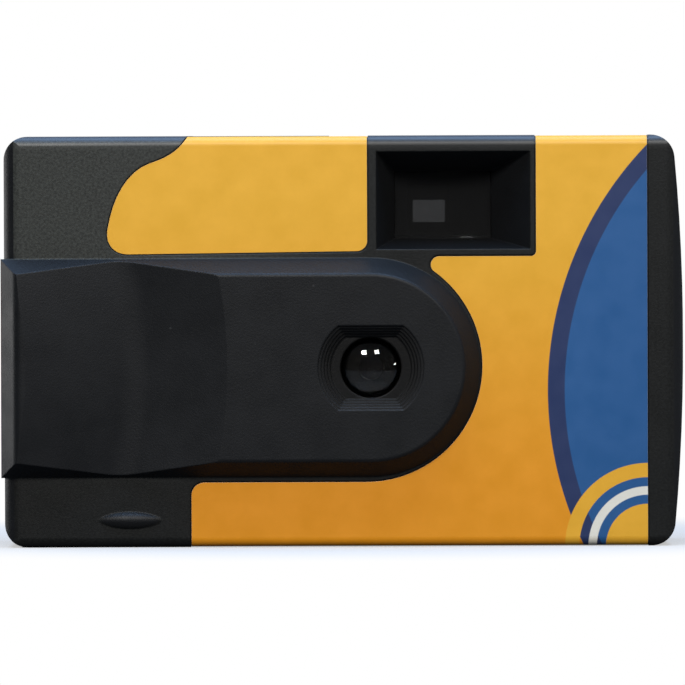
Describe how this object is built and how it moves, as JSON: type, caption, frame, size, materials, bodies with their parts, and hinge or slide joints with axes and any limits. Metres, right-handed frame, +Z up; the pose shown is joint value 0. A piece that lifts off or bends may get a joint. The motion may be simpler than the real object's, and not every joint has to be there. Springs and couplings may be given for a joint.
{
  "type": "disposable film camera",
  "caption": "Flat box-shaped single-use film camera with a raised lens and grip housing, a recessed viewfinder, a thumbwheel, a shutter button and a film door.",
  "frame": {"origin": "middle of the underside's bounding rectangle, on the floor plane", "axes": "+X to the right seen from the front, +Y from front to back, +Z up"},
  "size_m": [0.1054, 0.033, 0.0635],
  "materials": {
    "black_plastic": "fine-textured black polystyrene",
    "frame_plastic": "matt black polystyrene",
    "ivory_plastic": "natural acetal",
    "dial_plastic": "white polystyrene",
    "button_plastic": "black polystyrene",
    "clear_plastic": "clear moulded acrylic",
    "blade_steel": "thin rolled strip",
    "spring_steel": "drawn spring wire",
    "label_print": "printed, varnished self-adhesive label",
    "cartridge_metal": "printed tin plate",
    "cartridge_cap_metal": "black lacquered tin plate",
    "felt": "black velvet",
    "film_base": "photographic film"
  },
  "bodies": {
    "camera_body": {"front_cover": "black_plastic", "rear_cover": "black_plastic", "label": "label_print", "main_frame": "frame_plastic", "lens_holder": "frame_plastic", "taking_lens": "clear_plastic", "lens_retainer": "frame_plastic", "shutter_spring": "spring_steel", "lever_spring": "spring_steel", "keeper_plate": "frame_plastic", "counter_window": "clear_plastic", "cartridge_shell": "cartridge_metal", "cartridge_caps": "cartridge_cap_metal", "light_trap_felt": "felt", "film_strip": "film_base", "finder_front_lens": "clear_plastic", "finder_eyepiece": "clear_plastic"},
    "door": {"film_door": "black_plastic"},
    "advance": {"thumbwheel": "button_plastic", "cartridge_spool": "button_plastic"},
    "supply": {"supply_spool": "frame_plastic", "film_roll": "film_base"},
    "sprocket": {"sprocket_shaft": "ivory_plastic"},
    "counter": {"counter_wheel": "dial_plastic"},
    "release": {"shutter_button": "button_plastic"},
    "striker": {"striker_lever": "ivory_plastic"},
    "blade": {"shutter_blade": "blade_steel"},
    "metering": {"metering_lever": "ivory_plastic"}
  },
  "joints": [
    {"name": "door_hinge", "type": "hinge", "parent": "camera_body", "child": "door", "pos_m": [-0.0372, 0.014, 0.00065], "axis": [1, 0, 0], "range_deg": [0, 90]},
    {"name": "advance_turn", "type": "hinge", "parent": "camera_body", "child": "advance", "pos_m": [-0.0372, 0.0024, 0.055], "axis": [0, 0, 1], "continuous": true},
    {"name": "supply_turn", "type": "hinge", "parent": "camera_body", "child": "supply", "pos_m": [0.037, 0.0018, 0.0277], "axis": [0, 0, 1], "continuous": true},
    {"name": "sprocket_turn", "type": "hinge", "parent": "camera_body", "child": "sprocket", "pos_m": [-0.0177, 0.00415, 0.05], "axis": [0, 0, 1], "continuous": true},
    {"name": "counter_turn", "type": "hinge", "parent": "camera_body", "child": "counter", "pos_m": [-0.0082, -0.00251, 0.059], "axis": [0, 0, 1], "continuous": true},
    {"name": "button_press", "type": "hinge", "parent": "camera_body", "child": "release", "pos_m": [-0.02, -0.006, 0.0602], "axis": [0, -1, 0], "range_deg": [0, 4.6], "stiffness_Nm_per_rad": 0.2, "springref_deg": -2.86},
    {"name": "striker_swing", "type": "hinge", "parent": "camera_body", "child": "striker", "pos_m": [-0.0034, 0.002, 0.0545], "axis": [0, 0, 1], "range_deg": [0, 18], "stiffness_Nm_per_rad": 0.002, "deforming": ["lever_spring"]},
    {"name": "blade_swing", "type": "hinge", "parent": "camera_body", "child": "blade", "pos_m": [-0.003, -0.0089, 0.044], "axis": [0, 1, 0], "range_deg": [0, 22.5], "deforming": ["shutter_spring"]},
    {"name": "metering_swing", "type": "hinge", "parent": "camera_body", "child": "metering", "pos_m": [-0.0195, -0.005, 0.0545], "axis": [0, 0, 1], "range_deg": [0, 8], "stiffness_Nm_per_rad": 0.002, "deforming": ["lever_spring"]}
  ],
  "couplings": [
    {"joint": "sprocket_turn", "follows": "advance_turn", "ratio": 1.2397},
    {"joint": "supply_turn", "follows": "advance_turn", "ratio": 0.9115},
    {"joint": "counter_turn", "follows": "advance_turn", "ratio": -0.03444},
    {"joint": "blade_swing", "follows": "striker_swing", "ratio": 1.25}
  ]
}
